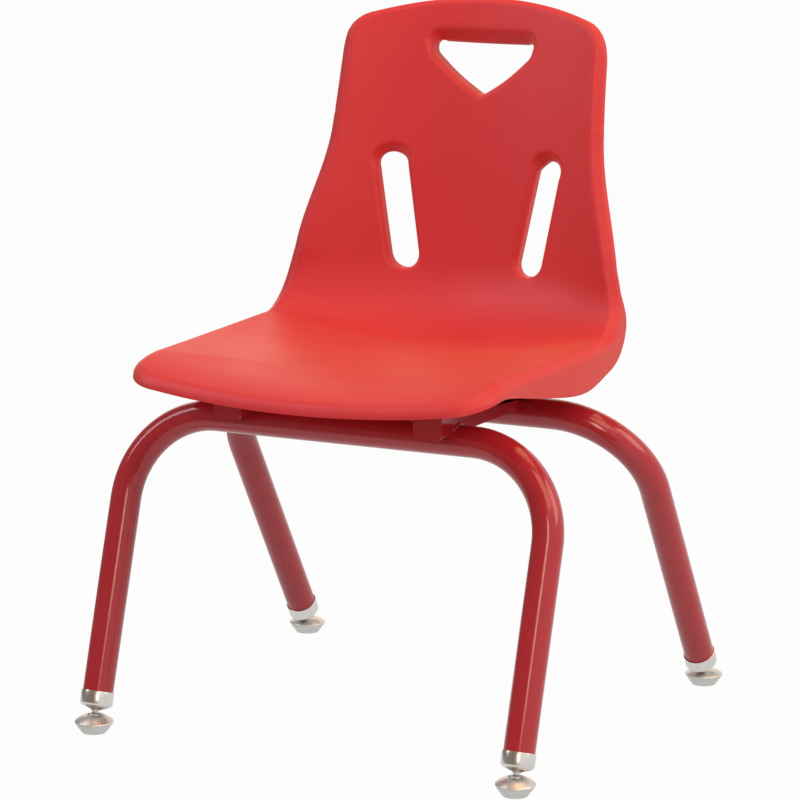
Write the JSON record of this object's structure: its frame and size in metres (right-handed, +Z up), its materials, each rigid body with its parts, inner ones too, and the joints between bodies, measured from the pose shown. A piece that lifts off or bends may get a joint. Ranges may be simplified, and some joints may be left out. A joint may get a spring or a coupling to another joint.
{
  "type": "student desk chair",
  "caption": "Child's classroom chair: one-piece moulded seat and back with a handle hole and slots, on bent tube legs with swivel glides.",
  "frame": {"origin": "on the floor, in the middle of the four feet", "axes": "+Z up, the sitter faces -Y, +X to the left of the sitter and to the right as seen from the front"},
  "size_m": [0.422, 0.404, 0.5852],
  "materials": {
    "shell": "fine satin",
    "frame_coat": "gloss",
    "nickel": "plated",
    "zinc": "plated",
    "nylon": "moulded"
  },
  "bodies": {
    "frame": {"seat_shell": "shell", "front_leg_tube": "frame_coat", "rear_leg_tube": "frame_coat", "left_seat_rail": "frame_coat", "right_seat_rail": "frame_coat", "seat_screws": "zinc", "screw_washers": "zinc", "front_left_ferrule": "nickel", "front_left_stud": "nickel", "front_right_ferrule": "nickel", "front_right_stud": "nickel", "rear_left_ferrule": "nickel", "rear_left_stud": "nickel", "rear_right_ferrule": "nickel", "rear_right_stud": "nickel"},
    "front_left_cup": {"front_left_liner": "nylon"},
    "front_left_foot": {"front_left_dome": "nickel", "front_left_sole": "zinc"},
    "front_right_cup": {"front_right_liner": "nylon"},
    "front_right_foot": {"front_right_dome": "nickel", "front_right_sole": "zinc"},
    "rear_left_cup": {"rear_left_liner": "nylon"},
    "rear_left_foot": {"rear_left_dome": "nickel", "rear_left_sole": "zinc"},
    "rear_right_cup": {"rear_right_liner": "nylon"},
    "rear_right_foot": {"rear_right_dome": "nickel", "rear_right_sole": "zinc"}
  },
  "joints": [
    {"name": "front_left_pitch", "type": "hinge", "parent": "frame", "child": "front_left_cup", "pos_m": [-0.1915, -0.186, 0.0115], "axis": [1, 0, 0], "range_deg": [-10, 10]},
    {"name": "front_left_roll", "type": "hinge", "parent": "front_left_cup", "child": "front_left_foot", "pos_m": [-0.1915, -0.186, 0.0115], "axis": [0, 1, 0], "range_deg": [-10, 10]},
    {"name": "front_right_pitch", "type": "hinge", "parent": "frame", "child": "front_right_cup", "pos_m": [0.1915, -0.186, 0.0115], "axis": [1, 0, 0], "range_deg": [-10, 10]},
    {"name": "front_right_roll", "type": "hinge", "parent": "front_right_cup", "child": "front_right_foot", "pos_m": [0.1915, -0.186, 0.0115], "axis": [0, 1, 0], "range_deg": [-10, 10]},
    {"name": "rear_left_pitch", "type": "hinge", "parent": "frame", "child": "rear_left_cup", "pos_m": [-0.195, 0.186, 0.0115], "axis": [1, 0, 0], "range_deg": [-10, 10]},
    {"name": "rear_left_roll", "type": "hinge", "parent": "rear_left_cup", "child": "rear_left_foot", "pos_m": [-0.195, 0.186, 0.0115], "axis": [0, 1, 0], "range_deg": [-10, 10]},
    {"name": "rear_right_pitch", "type": "hinge", "parent": "frame", "child": "rear_right_cup", "pos_m": [0.195, 0.186, 0.0115], "axis": [1, 0, 0], "range_deg": [-10, 10]},
    {"name": "rear_right_roll", "type": "hinge", "parent": "rear_right_cup", "child": "rear_right_foot", "pos_m": [0.195, 0.186, 0.0115], "axis": [0, 1, 0], "range_deg": [-10, 10]}
  ]
}
